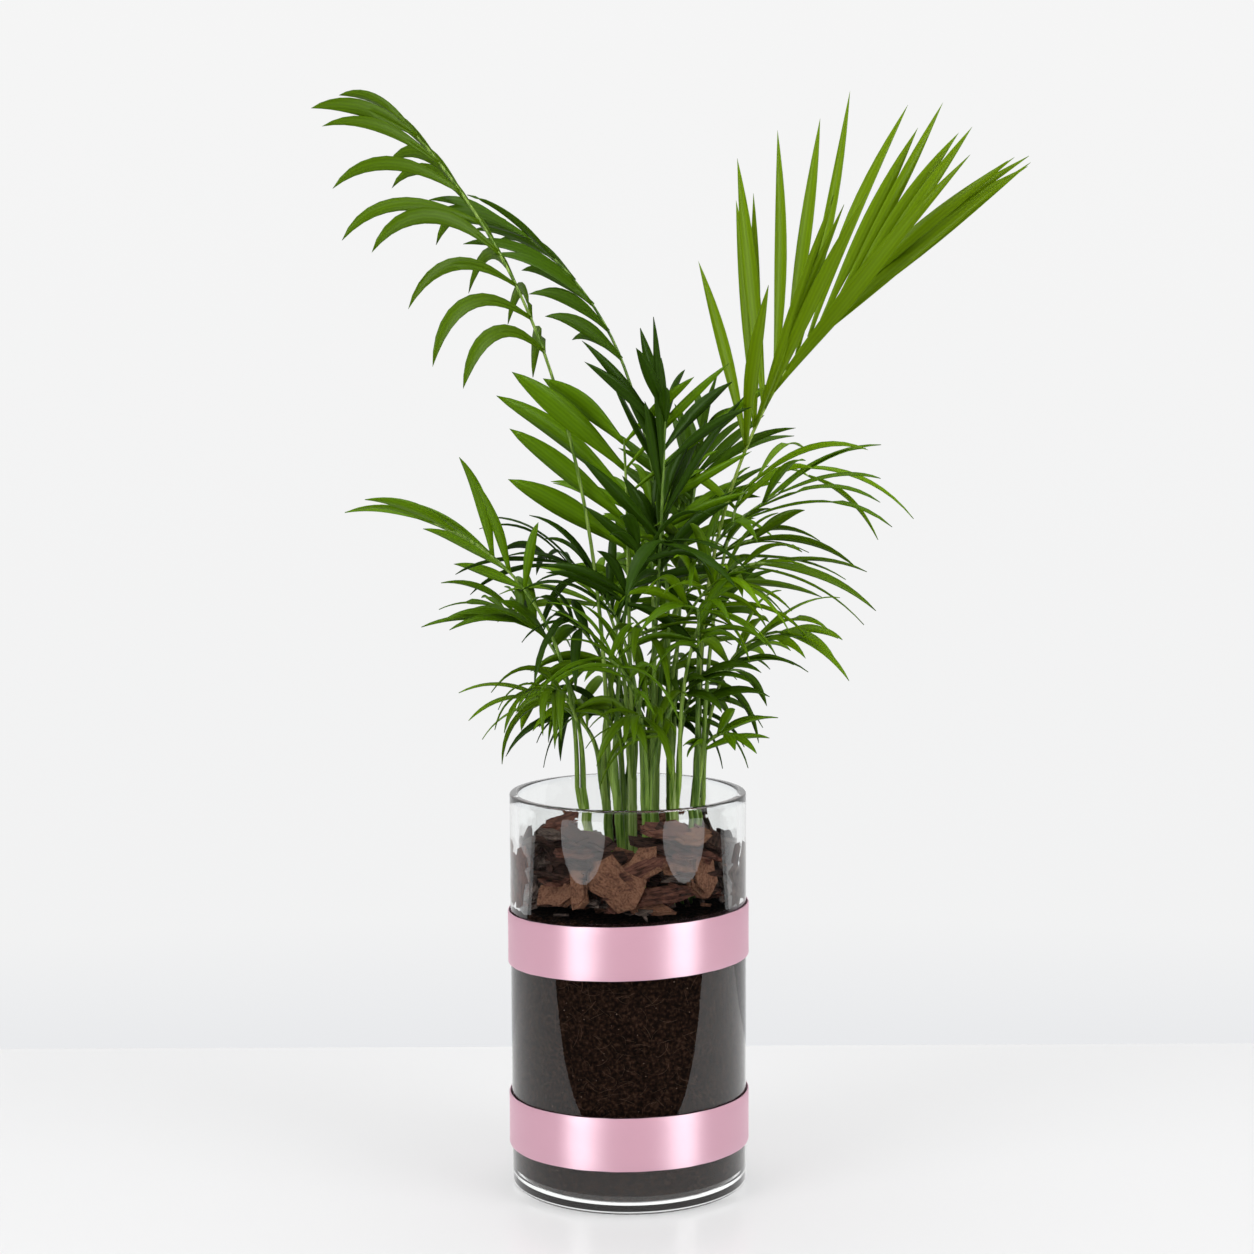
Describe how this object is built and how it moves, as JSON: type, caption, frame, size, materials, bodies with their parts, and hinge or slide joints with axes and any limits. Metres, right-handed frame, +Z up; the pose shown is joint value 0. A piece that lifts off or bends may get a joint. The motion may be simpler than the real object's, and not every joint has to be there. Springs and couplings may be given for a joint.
{
  "type": "parlour palm",
  "caption": "Young parlour palm, a clump of slim canes with arching feather fronds, in a clear glass cylinder of coir and bark chips wound with plain satin ribbons.",
  "frame": {"origin": "centre of the pot's flat underside", "axes": "+Z up, -Y towards the viewer of the picture, +X to the picture's right"},
  "size_m": [0.2287, 0.1292, 0.3678],
  "materials": {
    "glass": "clear, polished",
    "coir": "damp, fibrous",
    "bark": "split, dry",
    "satin": "satin",
    "cane": "smooth green rind",
    "leaf_mid": "semi-gloss",
    "leaf_dark": "semi-gloss",
    "leaf_bright": "semi-gloss"
  },
  "bodies": {
    "root": {"vase": "glass", "soil": "coir", "bark_bed": "bark", "ribbon_upper": "satin", "ribbon_lower": "satin", "stem_01": "cane", "stem_02": "cane", "stem_03": "cane", "stem_04": "cane", "stem_05": "cane", "stem_06": "cane", "stem_07": "cane", "stem_08": "cane", "stem_09": "cane", "stem_10": "cane", "stem_11": "cane", "stem_12": "cane", "frond_tall_left": "leaf_mid", "frond_tall_right": "leaf_bright", "frond_second_left": "leaf_dark", "frond_centre_left": "leaf_mid", "frond_low_left": "leaf_mid", "frond_lower_left": "leaf_dark", "frond_hanging_left": "leaf_mid", "frond_arching_right": "leaf_dark", "frond_high_right": "leaf_mid", "frond_level_right": "leaf_mid", "frond_lower_right": "leaf_mid", "frond_bottom_right": "leaf_mid", "frond_centre_dark": "leaf_dark", "frond_centre_back": "leaf_dark", "frond_01": "leaf_mid", "frond_02": "leaf_dark", "frond_03": "leaf_mid", "frond_04": "leaf_dark", "frond_05": "leaf_mid", "frond_06": "leaf_dark", "frond_07": "leaf_mid", "frond_08": "leaf_dark", "frond_09": "leaf_mid", "frond_10": "leaf_dark", "frond_11": "leaf_mid", "frond_12": "leaf_dark", "frond_13": "leaf_mid", "frond_14": "leaf_dark", "frond_15": "leaf_mid", "frond_16": "leaf_dark", "frond_17": "leaf_mid", "frond_18": "leaf_dark", "frond_19": "leaf_mid", "frond_20": "leaf_dark", "frond_21": "leaf_mid", "frond_22": "leaf_dark"}
  },
  "joints": []
}
